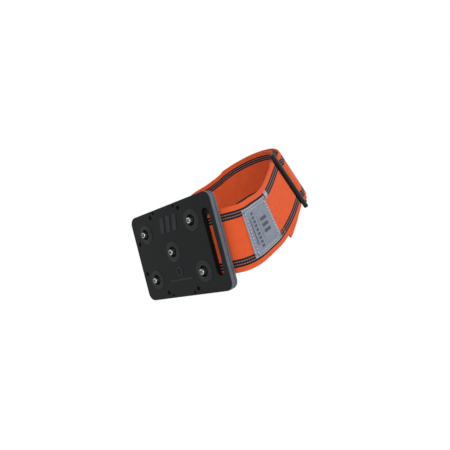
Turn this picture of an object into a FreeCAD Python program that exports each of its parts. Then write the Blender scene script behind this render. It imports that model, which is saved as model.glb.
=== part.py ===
import FreeCAD, Part
import math
import os

# Strap-on ice cleat for the arch of a shoe: a two-layer studded plate held under the sole by a
# webbing strap that goes over the instep and closes with hook-and-loop through a three-bar buckle.
# Millimetres. The origin is the centre of the face that rests against the sole. +Z goes up into the
# shoe, the studs point to -Z, +Y goes to the heel, and +X is the outer side, which has the buckle.

V = FreeCAD.Vector

# plate
PLATE_X = 88.0
PLATE_Y = 65.0
CORNER_R = 6.0
TREAD_T = 3.4
BASE_T = 2.8
EDGE_R = 0.9
LIP_W = 1.3
LIP_TOP_Z = -2.7
LIP_GAP = 0.1
BASE_RIM_Z = -1.9
BASE_INSET = 0.2
FACE_Z = -(TREAD_T + BASE_T)
SPLIT_Z = -BASE_T

# studs, in a five-spot pattern
STUD_MID_X = -2.7
STUD_DX = 25.7
STUD_DY = 17.3
FLANGE_R = 5.0
FLANGE_T = 1.2
SHANK_R = 2.0
SHANK_PROUD = 2.9
PIN_R = 1.0
PIN_PROUD = 4.0
PIN_LENGTH = 3.6
RECESS_R = 3.85
RECESS_DEPTH = 1.3
RING_R = (7.2, 5.6)
RING_H = 0.25
BORE_GAP = 0.05

# screws, through the face into the base plate
HEAD_R = 1.65
HEAD_H = 1.5
HEAD_SUNK = 0.7
SCREW_R = 0.9
SCREW_TIP_Z = -0.6
HEX_R = 0.8
SCREW_SPOTS = [(STUD_MID_X + sx * 16.0, sy * 28.0) for sx in (-1, 1) for sy in (-1, 1)]
STRAP_SCREW_SPOTS = [(-38.9, -11.7), (-38.9, 11.7)]
PEG_R = 1.0
PEG_SPOTS = [(STUD_MID_X + sx * 11.6, sy * 30.3) for sx in (-1, 1) for sy in (-1, 1)]
PEG_SUNK = 0.9

# windows for the strap
SLOT_X = 37.3
SLOT_W = 6.6
SLOT_L = 44.2
SLOT_DEPTH = 2.0
WINDOW_X = 36.85
WINDOW_Y = 1.9
WINDOW_W = 4.3
WINDOW_L = 40.0
CHANNEL_L = 44.0
CHANNEL_H = 1.6
BASE_SLOT_X = (32.4, 41.7)
RELIEF = 0.25

# raised marks on the face
MARK_H = 0.3
BAR_MARK_X = (-11.0, -4.2, 2.6)
BAR_MARK_Y = (-25.2, -14.2)
BAR_MARK_W = 4.2
BAR_MARK_LEAN = 3.0
RING_MARK_AT = (-1.1, 14.3)
RING_MARK_R = (3.3, 2.4)
LINE_MARK = (-13.5, 19.6, 24.0, 1.2)

# webbing
STRAP_W = 42.0
STRAP_T = 1.5
STRAP_Y = 2.3
STRAP_MID_Z = SPLIT_Z + STRAP_T / 2 + 0.05
RUN_END_X = 31.5
RUN_LEFT_X = -44.8

# buckle: its middle bar, and the axes along the strap, along the bars and out of the strap
BUCKLE_AT = V(45.8, -32.8, 89.1)
BUCKLE_UP = V(-0.40, -0.337, 0.852)
BUCKLE_BARS = V(0.11, 0.905, 0.41)
BUCKLE_LEN = 50.5
BUCKLE_T = 3.6
RAIL_TOP = -0.2
FAR_BAR_TOP = 0.6
NEAR_BAR = (-10.6, -6.6)
FAR_BAR = (5.4, 8.4)
MID_BAR_R = 1.5
WINDOW_HALF = 22.0
BUCKLE_ROUND = 0.75
BAR_ROUND = 1.3
LOOP_R = MID_BAR_R + 0.15 + STRAP_T / 2
FOLD_MID = (FAR_BAR_TOP - BUCKLE_T / 2) / 2
FOLD_R = 1.65 + STRAP_T / 2
FAR_MID = sum(FAR_BAR) / 2
UNDER_NEAR = -(BUCKLE_T / 2 + 0.4 + STRAP_T / 2)
CLIMB_AT = -7.0
LOOP_START = -9.2
LAYER_GAP = 0.1
SEAM = 0.3
FOLD_END = FAR_MID + 2.0
RUN_START = 9.8
TAIL_AXIS = 10.7

# sewn and glued-on pieces
LABEL_W = 32.5
LABEL_L = 32.0
LABEL_T = 0.8
LABEL_START = 27.0
SKIN_GAP = 0.06
THREAD_W = 0.7
THREAD_T = 0.3
LABEL_EDGE = 1.7
LOOP_SEW_ROWS = (3.0, 6.0)
LOOP_SEW_L = 35.0
PATCH_W = 37.0
PATCH_T = 0.7
PATCH_GAP = 0.5
LOOP_PATCH = (16.0, 92.0)
HOOK_PATCH = (24.0, 80.0)
TAIL_LENGTH = 84.0
TAIL_SETTLE = 14.0
ROOT_PROUD = 0.05
SETTLED = STRAP_T + 2 * PATCH_T + PATCH_GAP


def unit(v):
    return v * (1 / v.Length)


def square_axes(up, bars):
    """Axes (out, bars, up) at right angles to each other, keeping the direction of the bars."""
    bars = unit(bars)
    up = unit(up - bars * up.dot(bars))
    return bars.cross(up), bars, up


OUT, BARS, UP = square_axes(BUCKLE_UP, BUCKLE_BARS)


def by_buckle(along, out):
    """A point beside the buckle's middle bar: so far along the strap, so far out of it."""
    return BUCKLE_AT + UP * along + OUT * out


# The strap's two routes. Each row is a point on the middle of the webbing and the direction across it.
# The first and last rows only steer the ends: the webbing runs from the second row to the last but one.
FLAT = V(0, 1, 0)


def across(lean_deg, yaw=0.0):
    lean = math.radians(lean_deg)
    return unit(V(yaw, math.cos(lean), math.sin(lean)))


SIDE = [
    (V(50.9, 1.9, 10), across(3)),
    (V(51.0, 0.9, 18), across(9)),
    (V(51.0, -1.5, 27.5), across(13)),
    (V(50.6, -5.9, 43), across(17)),
    (V(50.2, -12.2, 55), across(21, 0.04)),
    (V(49.8, -19.0, 65), across(24, 0.08)),
]


def mirrored(rows):
    return [(V(-c.x, c.y, c.z), V(-w.x, w.y, w.z)) for c, w in reversed(rows)]


OUTER_ROUTE = [
    (V(RUN_END_X - 1.5, STRAP_Y, STRAP_MID_Z), FLAT),
    (V(RUN_END_X, STRAP_Y, STRAP_MID_Z), FLAT),
    (V(RUN_END_X + 1.8, STRAP_Y, STRAP_MID_Z + 0.15), FLAT),
    (V(37.0, STRAP_Y, -0.9), FLAT),
    (V(41.0, STRAP_Y, 1.0), FLAT),
    (V(45.2, STRAP_Y, 1.9), FLAT),
    (V(49.0, STRAP_Y, 4.6), FLAT),
    *SIDE,
    (by_buckle(-15.5, UNDER_NEAR), BARS),
    (by_buckle(LOOP_START, UNDER_NEAR), BARS),
    (by_buckle(LOOP_START + 4, UNDER_NEAR), BARS),
]

DOME = [
    (V(36.7, -38.1, 102.2), across(24.4, 0.10)),
    (V(32.0, -41.6, 107.4), across(24.4, 0.08)),
    (V(24.0, -44.8, 112.2), across(24.4, 0.05)),
    (V(12.5, -47.1, 115.6), across(24.4, 0.025)),
]

OVER_ROUTE = [
    (by_buckle(RUN_START - 4, FOLD_MID - FOLD_R), BARS),
    (by_buckle(RUN_START, FOLD_MID - FOLD_R), BARS),
    *DOME,
    (V(0, -47.9, 116.7), across(24.4)),
    *mirrored(DOME),
    (V(-42.6, -33.2, 92.0), across(24.4, -0.11)),
    (V(-48.3, -27.6, 77.5), across(24.4, -0.10)),
    *mirrored(SIDE),
    (V(-50.3, STRAP_Y, 4.0), FLAT),
    (V(-48.8, STRAP_Y, 0.4), FLAT),
    (V(-46.6, STRAP_Y, STRAP_MID_Z + 0.25), FLAT),
    (V(RUN_LEFT_X, STRAP_Y, STRAP_MID_Z), FLAT),
    (V(RUN_LEFT_X + 2, STRAP_Y, STRAP_MID_Z), FLAT),
]


def smooth(rows, steps):
    """A smooth line through the rows of a route, as many short steps with the direction across."""
    line = []
    for four in zip(rows, rows[1:], rows[2:], rows[3:]):
        for k in range(steps):
            line.append([blend4(k / steps, *column) for column in zip(*four)])
    line.append(list(rows[-2]))
    return line


def blend4(t, a, b, c, d):
    """Catmull-Rom value between b and c."""
    return (
        b * 2 + (c - a) * t + (a * 2 - b * 5 + c * 4 - d) * t**2 + (b * 3 - a - c * 3 + d) * t**3
    ) * 0.5


def frames(line):
    """Rows of (distance, point, across, out) along a line, with out square to it."""
    rows = []
    distance = 0.0
    for i, (point, width) in enumerate(line):
        if i:
            distance += (point - line[i - 1][0]).Length
        ahead = line[min(i + 1, len(line) - 1)][0] - line[max(i - 1, 0)][0]
        width = unit(width)
        out = unit(width.cross(unit(ahead)))
        rows.append((distance, point, width, out))
    return rows


def between(rows, start, end):
    """The part of a framed line from one distance to another, cut exactly at both."""

    def at(distance):
        for a, b in zip(rows, rows[1:]):
            if a[0] <= distance <= b[0]:
                t = (distance - a[0]) / (b[0] - a[0])
                return (distance, *[p * (1 - t) + q * t for p, q in zip(a[1:], b[1:])])
        return rows[-1]

    inside = [r for r in rows if start + 0.4 < r[0] < end - 0.4]
    return [at(start), *inside, at(end)]


def band(rows, width, thickness, lift=0.0, side=0.0):
    """A solid ribbon along a framed line. lift moves it out, side moves it across."""
    wires = []
    for distance, point, wide, out in rows:
        raised = lift(distance) if callable(lift) else lift
        middle = point + out * raised + wide * side
        ring = [
            middle + wide * (sw * width / 2) + out * (so * thickness / 2)
            for sw, so in ((-1, -1), (1, -1), (1, 1), (-1, 1))
        ]
        wires.append(Part.makePolygon([*ring, ring[0]]))
    return Part.makeLoft(wires, True, True)


OUTER = frames(smooth(OUTER_ROUTE, 4))
OVER = frames(smooth(OVER_ROUTE, 4))


def write(name, *solids):
    shape = solids[0] if len(solids) == 1 else Part.makeCompound(list(solids))
    for solid in shape.Solids:
        if not solid.isValid() or solid.Volume <= 0:
            print("not valid:", name)
    shape.exportStep(f"parts/{name}.step")
    print(f"{name}: {len(shape.Solids)} solid(s), {shape.Volume:.1f} mm3")


def rod(radius, z_low, z_high, x=0.0, y=0.0):
    return Part.makeCylinder(radius, z_high - z_low, V(x, y, z_low))


def slab(width, depth, corner, z_low, z_high, x=0.0, y=0.0):
    """A block with rounded upright corners, centred on x and y."""
    block = Part.makeBox(width, depth, z_high - z_low, V(x - width / 2, y - depth / 2, z_low))
    upright = [e for e in block.Edges if abs(e.tangentAt(e.FirstParameter).z) > 0.9]
    return block.makeFillet(corner, upright)


def round_rim(shape, z, radius):
    """Rounds the whole rim that lies at the height z."""
    rim = [e for e in shape.Edges if all(abs(v.Z - z) < 1e-6 for v in e.Vertexes)]
    return shape.makeFillet(radius, rim)


def stud_spots():
    corners = [(sx * STUD_DX, sy * STUD_DY) for sy in (-1, 1) for sx in (-1, 1)]
    return [(STUD_MID_X + x, y) for x, y in [*corners, (0.0, 0.0)]]


def raised_marks():
    """Plain raised marks: three leaning bars, a ring and a line."""
    low = FACE_Z - MARK_H
    depth = MARK_H + 0.2
    marks = []
    for x in BAR_MARK_X:
        toe, heel = BAR_MARK_Y
        outline = [
            V(x + BAR_MARK_LEAN, toe, low),
            V(x + BAR_MARK_LEAN + BAR_MARK_W, toe, low),
            V(x + BAR_MARK_W, heel, low),
            V(x, heel, low),
        ]
        face = Part.Face(Part.makePolygon([*outline, outline[0]]))
        marks.append(face.extrude(V(0, 0, depth)))
    outer_r, inner_r = RING_MARK_R
    ring = rod(outer_r, low, low + depth, *RING_MARK_AT)
    marks.append(ring.cut(rod(inner_r, low - 1, low + depth + 1, *RING_MARK_AT)))
    x, y, length, width = LINE_MARK
    marks.append(Part.makeBox(length, width, depth, V(x, y, low)))
    return marks


def layer(inset, z_low, z_high):
    """The plate's outline, drawn in by an inset, as a block between two heights."""
    return slab(PLATE_X - 2 * inset, PLATE_Y - 2 * inset, CORNER_R - inset, z_low, z_high)


def strap_channel():
    """The space that the webbing has between the layers, open at the inner edge."""
    end = BASE_SLOT_X[1]
    length = end + PLATE_X / 2 + 1
    corner = V(end - length, STRAP_Y - CHANNEL_L / 2, SPLIT_Z)
    return Part.makeBox(length, CHANNEL_L, CHANNEL_H, corner)


def tread_plate():
    """The black layer that the studs come through, with a lip round the base plate's foot."""
    body = round_rim(layer(0, FACE_Z, LIP_TOP_Z), FACE_Z, EDGE_R)
    body = body.cut(layer(LIP_W, SPLIT_Z, LIP_TOP_Z + 1)).cut(strap_channel())
    for x, y in stud_spots():
        for i, radius in enumerate(RING_R):
            disc_low = FACE_Z - RING_H * (i + 1)
            body = body.fuse(rod(radius, disc_low, FACE_Z + 0.3, x, y))
        body = body.cut(rod(RECESS_R, FACE_Z - 2, FACE_Z + RECESS_DEPTH, x, y))
        body = body.cut(rod(SHANK_R + BORE_GAP, FACE_Z, SPLIT_Z + 1, x, y))
        body = body.cut(rod(FLANGE_R + BORE_GAP, SPLIT_Z - FLANGE_T, SPLIT_Z + 1, x, y))
    body = body.fuse(raised_marks())
    slot_floor = FACE_Z + SLOT_DEPTH
    body = body.cut(slab(SLOT_W, SLOT_L, SLOT_W / 2 - 0.01, FACE_Z - 2, slot_floor, SLOT_X, 0))
    body = body.cut(slab(
        WINDOW_W, WINDOW_L, WINDOW_W / 2 - 0.01, FACE_Z, SPLIT_Z + 1, WINDOW_X, WINDOW_Y,
    ))
    for x, y in SCREW_SPOTS + STRAP_SCREW_SPOTS:
        body = body.cut(rod(HEAD_R, FACE_Z - 1, FACE_Z + HEAD_SUNK + HEAD_H, x, y))
        body = body.cut(rod(SCREW_R, FACE_Z - 1, SPLIT_Z + 1, x, y))
    for x, y in PEG_SPOTS:
        body = body.cut(rod(PEG_R, FACE_Z - 1, SPLIT_Z + 1, x, y))
    return body


def base_plate():
    """The layer against the sole: a foot inside the lip, and a channel and relief for the strap."""
    foot = layer(LIP_W + LIP_GAP, SPLIT_Z, BASE_RIM_Z)
    top = round_rim(layer(BASE_INSET, BASE_RIM_Z, 0), 0, EDGE_R / 2)
    body = top.fuse(foot).removeSplitter().cut(strap_channel())
    slot_low, slot_high = BASE_SLOT_X
    body = body.cut(slab(
        slot_high - slot_low, CHANNEL_L, 1.5, SPLIT_Z - 1, 1, (slot_low + slot_high) / 2, STRAP_Y,
    ))
    relief = V(slot_low, STRAP_Y - CHANNEL_L / 2, -RELIEF)
    body = body.cut(Part.makeBox(PLATE_X / 2 + 1 - slot_low, CHANNEL_L, 1, relief))
    for x, y in SCREW_SPOTS + STRAP_SCREW_SPOTS:
        body = body.cut(rod(SCREW_R, SPLIT_Z - 1, SCREW_TIP_Z, x, y))
    for x, y in PEG_SPOTS:
        body = body.fuse(rod(PEG_R, FACE_Z + PEG_SUNK, SPLIT_Z, x, y))
    return body


def plate_screw(x, y):
    head_low = FACE_Z + HEAD_SUNK
    head = rod(HEAD_R, head_low, head_low + HEAD_H, x, y)
    shank = rod(SCREW_R, head_low + HEAD_H, SCREW_TIP_Z, x, y)
    socket = Part.Face(Part.makePolygon([
        V(x + HEX_R * math.cos(a), y + HEX_R * math.sin(a), head_low - 0.1)
        for a in [i * math.pi / 3 for i in range(7)]
    ])).extrude(V(0, 0, 0.9))
    return head.fuse(shank).removeSplitter().cut(socket)


def stud(x, y):
    """A flanged steel stud, held between the layers, with a blind hole for its hard pin."""
    tip = FACE_Z - SHANK_PROUD
    flange = rod(FLANGE_R, SPLIT_Z - FLANGE_T, SPLIT_Z, x, y)
    shank = round_rim(rod(SHANK_R, tip, SPLIT_Z - FLANGE_T, x, y), tip, 0.5)
    pin_top = FACE_Z - PIN_PROUD + PIN_LENGTH
    return flange.fuse(shank).removeSplitter().cut(rod(PIN_R, tip - 1, pin_top, x, y))


def carbide_pin(x, y):
    tip = FACE_Z - PIN_PROUD
    return round_rim(rod(PIN_R, tip, tip + PIN_LENGTH, x, y), tip, 0.35)


def strap_under_run():
    """The stretch of webbing inside the plate, punched for the two screws that anchor it."""
    run = Part.makeBox(
        RUN_END_X - RUN_LEFT_X - 2 * SEAM, STRAP_W, STRAP_T,
        V(RUN_LEFT_X + SEAM, STRAP_Y - STRAP_W / 2, STRAP_MID_Z - STRAP_T / 2),
    )
    for x, y in STRAP_SCREW_SPOTS:
        run = run.cut(rod(SCREW_R, SPLIT_Z - 1, 0, x, y))
    return run


def arc_points(along, out, radius, start_deg, end_deg, count):
    """Points (along, out) on an arc about a bar, with 0 degrees towards the far bar."""
    points = []
    for i in range(count + 1):
        a = math.radians(start_deg + (end_deg - start_deg) * i / count)
        points.append((along + radius * math.cos(a), out + radius * math.sin(a)))
    return points


def local_frames(points):
    """A framed line from (along, out) points beside the buckle."""
    return frames([(by_buckle(a, o), BARS) for a, o in points])


def tangent_deg(along, out, radius):
    """Where a line from a point below passes over a circle about the middle bar, as an angle."""
    far = math.hypot(along, out)
    bearing = math.atan2(-out, -along)
    swing = math.asin(radius / far)
    return math.degrees(bearing + swing) + 90


def strap_buckle_loop():
    """The end of the webbing: under the near bar, round the middle bar and back, where it is sewn."""
    back = UNDER_NEAR - STRAP_T - LAYER_GAP
    over = tangent_deg(CLIMB_AT, UNDER_NEAR, LOOP_R)
    under = -tangent_deg(CLIMB_AT, -back, LOOP_R)
    loop = [
        (LOOP_START, UNDER_NEAR),
        (CLIMB_AT - 0.3, UNDER_NEAR),
        (CLIMB_AT + 0.3, UNDER_NEAR + 0.25),
        *arc_points(0, 0, LOOP_R, over, under, 14),
        (CLIMB_AT + 0.4, back + 0.15),
        (CLIMB_AT - 0.4, back),
        (LOOP_START, back),
    ]
    return band(local_frames(loop), STRAP_W, STRAP_T)


def strap_fold():
    """Where the free end goes round the far bar."""
    wrap = [
        (FOLD_END, FOLD_MID - FOLD_R),
        *arc_points(FAR_MID, FOLD_MID, FOLD_R, 270, 90, 12),
        (FOLD_END, FOLD_MID + FOLD_R),
    ]
    return band(local_frames(wrap), STRAP_W, STRAP_T)


def tail_lift(distance):
    """How far the tail's middle lies outside the run's, easing from the buckle's height."""
    t = min(1.0, distance / TAIL_SETTLE)
    ease = t * t * (3 - 2 * t)
    return 2 * FOLD_R + (SETTLED - 2 * FOLD_R) * ease


def strap_tail():
    """The free end, with a rounded root on its folding line."""
    start = TAIL_AXIS - RUN_START
    rows = between(OVER, start, TAIL_LENGTH)
    body = band(rows, STRAP_W, STRAP_T, tail_lift)
    _, point, wide, out = rows[0]
    root = point + out * tail_lift(start) - wide * (STRAP_W / 2)
    return body.fuse(Part.makeCylinder(STRAP_T / 2 + ROOT_PROUD, STRAP_W, root, wide))


def sewn_end():
    """The doubled layer under the outer strap, from the buckle back to the label."""
    end = OUTER[-1][0] - SEAM
    start = LABEL_START + LABEL_L + 1.5
    return band(between(OUTER, start, end), STRAP_W, STRAP_T, -(STRAP_T + LAYER_GAP))


def bar(along, top, corner):
    """A rounded bar across the buckle, from its underside up to a height."""
    low, high = along
    under = -BUCKLE_T / 2
    block = Part.makeBox(top - under, BUCKLE_LEN, high - low, V(under, -BUCKLE_LEN / 2, low))
    ends = [e for e in block.Edges if abs(e.tangentAt(e.FirstParameter).x) > 0.9]
    block = block.makeFillet(corner, ends)
    caps = [f for f in block.Faces if abs(f.normalAt(0, 0).x) > 0.99]
    return block.makeFillet(min(BAR_ROUND, (top - under) * 0.4), [e for f in caps for e in f.Edges])


def buckle_frame():
    """Two rounded bars, two low rails and a round middle bar in one moulding."""
    low = (NEAR_BAR[0] + NEAR_BAR[1]) / 2
    high = (FAR_BAR[0] + FAR_BAR[1]) / 2
    under = -BUCKLE_T / 2
    rail_w = BUCKLE_LEN / 2 - WINDOW_HALF
    frame = bar(NEAR_BAR, -under, 1.6).fuse(bar(FAR_BAR, FAR_BAR_TOP, 1.4))
    for edge in (-BUCKLE_LEN / 2, WINDOW_HALF):
        rail = Part.makeBox(RAIL_TOP - under, rail_w, high - low, V(under, edge, low))
        long_edges = [e for e in rail.Edges if abs(e.tangentAt(e.FirstParameter).z) > 0.9]
        frame = frame.fuse(rail.makeFillet(BUCKLE_ROUND, long_edges))
    reach = WINDOW_HALF + rail_w / 2
    frame = frame.fuse(Part.makeCylinder(MID_BAR_R, 2 * reach, V(0, -reach, 0), V(0, 1, 0)))
    frame = frame.removeSplitter()
    frame.Placement = FreeCAD.Placement(FreeCAD.Matrix(
        OUT.x, BARS.x, UP.x, BUCKLE_AT.x,
        OUT.y, BARS.y, UP.y, BUCKLE_AT.y,
        OUT.z, BARS.z, UP.z, BUCKLE_AT.z,
        0, 0, 0, 1,
    ))
    return frame


def label_patch():
    rows = between(OUTER, LABEL_START, LABEL_START + LABEL_L)
    return band(rows, LABEL_W, LABEL_T, STRAP_T / 2 + LABEL_T / 2 + SKIN_GAP)


def label_thread():
    """Four stitched lines near the label's edges."""
    lift = STRAP_T / 2 + LABEL_T + THREAD_T / 2 + 2 * SKIN_GAP
    low = LABEL_START + LABEL_EDGE
    high = LABEL_START + LABEL_L - LABEL_EDGE
    reach = LABEL_W / 2 - LABEL_EDGE
    long_lines = [
        band(between(OUTER, low, high), THREAD_W, THREAD_T, lift, side) for side in (-reach, reach)
    ]
    cross_lines = [
        band(between(OUTER, at, at + THREAD_W), 2 * reach - THREAD_W, THREAD_T, lift)
        for at in (low, high - THREAD_W)
    ]
    return long_lines + cross_lines


def loop_thread():
    """The rows that sew the doubled end, just beyond the label."""
    lift = STRAP_T / 2 + THREAD_T / 2 + SKIN_GAP
    end = LABEL_START + LABEL_L
    return [
        band(between(OUTER, end + row, end + row + THREAD_W), LOOP_SEW_L, THREAD_T, lift)
        for row in LOOP_SEW_ROWS
    ]


def build():
    os.makedirs("parts", exist_ok=True)
    write("tread_plate", tread_plate())
    write("base_plate", base_plate())
    write("plate_screws", *[plate_screw(x, y) for x, y in SCREW_SPOTS + STRAP_SCREW_SPOTS])
    for number, (x, y) in enumerate(stud_spots(), 1):
        write(f"stud_{number}", stud(x, y))
        write(f"carbide_pin_{number}", carbide_pin(x, y))
    write("strap_under_run", strap_under_run())
    write("strap_outer_side", band(between(OUTER, 0, OUTER[-1][0] - SEAM), STRAP_W, STRAP_T))
    write("strap_sewn_end", sewn_end())
    write("strap_buckle_loop", strap_buckle_loop())
    side_start = next(d for d, point, _, _ in OVER if point.x < 0 and point.z < 100)
    write("strap_instep_run", band(between(OVER, 0, side_start), STRAP_W, STRAP_T))
    write("strap_inner_side", band(between(OVER, side_start, OVER[-1][0]), STRAP_W, STRAP_T))
    write("strap_fold", strap_fold())
    write("strap_tail", strap_tail())
    write("buckle_frame", buckle_frame())
    write("label_patch", label_patch())
    write("label_thread", *label_thread())
    write("loop_thread", *loop_thread())
    loop_lift = (STRAP_T + PATCH_T) / 2 + SKIN_GAP
    write("loop_patch", band(between(OVER, *LOOP_PATCH), PATCH_W, PATCH_T, loop_lift))
    hook_lift = SETTLED - (STRAP_T + PATCH_T) / 2 - SKIN_GAP
    write("hook_patch", band(between(OVER, *HOOK_PATCH), PATCH_W, PATCH_T, hook_lift))


build()
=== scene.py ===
import bisect
import math

import bpy
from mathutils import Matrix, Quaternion, Vector, noise


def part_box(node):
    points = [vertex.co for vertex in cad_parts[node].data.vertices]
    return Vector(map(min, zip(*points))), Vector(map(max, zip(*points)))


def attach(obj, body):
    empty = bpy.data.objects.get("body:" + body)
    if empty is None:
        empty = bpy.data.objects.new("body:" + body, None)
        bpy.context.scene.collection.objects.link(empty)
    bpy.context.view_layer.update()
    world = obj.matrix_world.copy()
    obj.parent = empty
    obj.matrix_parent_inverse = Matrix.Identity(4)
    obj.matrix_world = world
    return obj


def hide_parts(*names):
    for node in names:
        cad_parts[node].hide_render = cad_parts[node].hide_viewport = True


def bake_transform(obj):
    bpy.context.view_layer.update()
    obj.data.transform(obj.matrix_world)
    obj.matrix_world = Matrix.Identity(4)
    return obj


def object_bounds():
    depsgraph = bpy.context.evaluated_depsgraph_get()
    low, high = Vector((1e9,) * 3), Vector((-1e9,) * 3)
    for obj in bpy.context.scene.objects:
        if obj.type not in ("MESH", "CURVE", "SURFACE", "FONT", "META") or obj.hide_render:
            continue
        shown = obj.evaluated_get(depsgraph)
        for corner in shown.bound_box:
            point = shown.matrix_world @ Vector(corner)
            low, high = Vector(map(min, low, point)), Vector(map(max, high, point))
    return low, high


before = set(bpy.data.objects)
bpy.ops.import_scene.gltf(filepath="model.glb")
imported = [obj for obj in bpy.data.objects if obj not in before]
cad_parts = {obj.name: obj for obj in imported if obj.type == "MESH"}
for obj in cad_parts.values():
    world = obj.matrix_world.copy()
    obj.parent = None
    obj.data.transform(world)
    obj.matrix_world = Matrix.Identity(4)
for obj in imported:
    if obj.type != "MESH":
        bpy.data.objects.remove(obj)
CAD_LOW, CAD_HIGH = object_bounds()

# Looks of a strap-on ice cleat. Millimetres are used for the webbing and turned into metres when a
# mesh is made. The webbing's two routes are the CAD part's own.
MM = 0.001
V = Vector

# ---------------------------------------------------------------- sizes shared with the CAD part

STRAP_W = 42.0
STRAP_T = 1.5
STRAP_Y = 2.3
FACE_Z = -6.2
CORNER_R = 6.0
SPLIT_Z = -2.8
STRAP_MID_Z = SPLIT_Z + STRAP_T / 2 + 0.05
RUN_END_X = 31.5
RUN_LEFT_X = -44.8

BUCKLE_AT = V((45.8, -32.8, 89.1))
BUCKLE_UP = V((-0.40, -0.337, 0.852))
BUCKLE_BARS = V((0.11, 0.905, 0.41))
FAR_MID = 6.9
FOLD_MID = -0.6
FOLD_R = 2.4
UNDER_NEAR = -2.95
CLIMB_AT = -7.0
LOOP_START = -9.2
LAYER_GAP = 0.1
RUN_START = 9.8
FOLD_END = 8.9
TAIL_AXIS = 10.7

LABEL_W = 32.5
LABEL_L = 32.0
LABEL_T = 0.8
LABEL_START = 27.0
LABEL_END = LABEL_START + LABEL_L
SKIN_GAP = 0.06
LOOP_SEW_ROWS = (3.0, 6.0)
LOOP_SEW_L = 35.0
PATCH_W = 37.0
PATCH_T = 0.7
PATCH_GAP = 0.5
LOOP_PATCH = (16.0, 92.0)
HOOK_PATCH = (24.0, 80.0)
TAIL_LENGTH = 84.0
TAIL_SETTLE = 14.0
SETTLED = STRAP_T + 2 * PATCH_T + PATCH_GAP

# ---------------------------------------------------------------- sizes of these meshes alone

# where webbing_outer starts on its line, and where webbing_over and webbing_fold meet on the run
# over the instep
OUTER_START = 0.4
RUN_SPLIT = 12.0

# the loop's radius round the buckle's middle bar, and how much nearer to that bar than the CAD's
# the fold round the far bar lies
LOOP_R = 2.65
WRAP_SLACK = 0.3

# the doubled end: where it is cut, how much shorter it is at one edge, and how far askew it lies
CUT_AT = LABEL_END + 1.5
CUT_SLANT = 11.0
CUT_SKEW = 4.2

# the webbing's thickness inside the plate, as a share of its own, and the length it swells over
PRESSED = 0.84
SWELL_LENGTH = 14.0

# the weave, measured from the webbing's middle line
STRIPE_IN = 12.6
STRIPE_OUT = 17.7
STRIPE_MID = (STRIPE_IN + STRIPE_OUT) / 2
STRIPE_HALF = (STRIPE_OUT - STRIPE_IN) / 2
YARN_PITCH = 1.9
YARN_RIDGE = 0.07
DASH = 1.5
RIB = 1.15
WARP = 0.78

# a line's point spacing at a bend, and how often its corners are eased
FINE = 0.5
EASINGS = 6

# spacing across the webbing's middle, its stripes and its edges, and across a plain strip, with how
# far in their edges are rounded
MIDDLE_STEP = 1.6
STRIPE_STEP = 0.34
EDGE_STEP = 0.9
EDGE_R = 0.35
PLAIN_STEP = 1.5
PLAIN_EDGE = 0.3

# how quickly the webbing's slow drift to the side and a tape's pile change along them
WANDER_RATE = 0.045
PILE_RATE = 1.3

# rows of stitches, as (pitch, share of the pitch that shows, height over the cloth), with the
# thread's radius, its share left where it dips in, and how far in from the edge the rows run
THREAD_END = 0.75
LABEL_ROW = (2.3, 0.62, 0.2)
LABEL_THREAD_R = 0.3
LABEL_EDGE = 2.4
SEWN_END_ROW = (2.5, 0.75, 0.14)
TAIL_ROW = (2.6, 0.75, 0.14)
STRAP_THREAD_R = 0.24
TAIL_EDGE = 1.5

# the zigzag tack beside the label's corner, one stitch to a row
TACKS = 6
TACK_START = 2.8
TACK_STEP = 0.8
TACK_LEAN = 0.8
TACK_SIDES = (-STRIPE_OUT - 0.2, -STRIPE_IN + 0.4)
TACK_LIFT = 0.2
TACK_ROW = (6.0, 0.95, 0.25)
TACK_THREAD_R = 0.19


def unit(v):
    return v.normalized()


def square_axes(up, bars):
    bars = unit(bars)
    up = unit(up - bars * up.dot(bars))
    return bars.cross(up), bars, up


OUT, BARS, UP = square_axes(BUCKLE_UP, BUCKLE_BARS)


def by_buckle(along, out):
    """A point beside the buckle's middle bar: so far along the strap, so far out of it."""
    return BUCKLE_AT + UP * along + OUT * out


def across(lean_deg, yaw=0.0):
    """The direction across the strap, where it leans back and yaws."""
    lean = math.radians(lean_deg)
    return unit(V((yaw, math.cos(lean), math.sin(lean))))


FLAT = V((0, 1, 0))

SIDE = [
    (V((50.9, 1.9, 10)), across(3)),
    (V((51.0, 0.9, 18)), across(9)),
    (V((51.0, -1.5, 27.5)), across(13)),
    (V((50.6, -5.9, 43)), across(17)),
    (V((50.2, -12.2, 55)), across(21, 0.04)),
    (V((49.8, -19.0, 65)), across(24, 0.08)),
]


def mirrored(rows):
    """The same rows on the other side, in reverse order."""
    return [(V((-c.x, c.y, c.z)), V((-w.x, w.y, w.z))) for c, w in reversed(rows)]


OUTER_ROUTE = [
    (V((RUN_END_X - 1.5, STRAP_Y, STRAP_MID_Z)), FLAT),
    (V((RUN_END_X, STRAP_Y, STRAP_MID_Z)), FLAT),
    (V((RUN_END_X + 1.8, STRAP_Y, STRAP_MID_Z + 0.15)), FLAT),
    (V((37.0, STRAP_Y, -0.9)), FLAT),
    (V((41.0, STRAP_Y, 1.0)), FLAT),
    (V((45.2, STRAP_Y, 1.9)), FLAT),
    (V((49.0, STRAP_Y, 4.6)), FLAT),
    *SIDE,
    (by_buckle(-15.5, UNDER_NEAR), BARS),
    (by_buckle(LOOP_START, UNDER_NEAR), BARS),
    (by_buckle(LOOP_START + 4, UNDER_NEAR), BARS),
]

DOME = [
    (V((36.7, -38.1, 102.2)), across(24.4, 0.10)),
    (V((32.0, -41.6, 107.4)), across(24.4, 0.08)),
    (V((24.0, -44.8, 112.2)), across(24.4, 0.05)),
    (V((12.5, -47.1, 115.6)), across(24.4, 0.025)),
]

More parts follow.
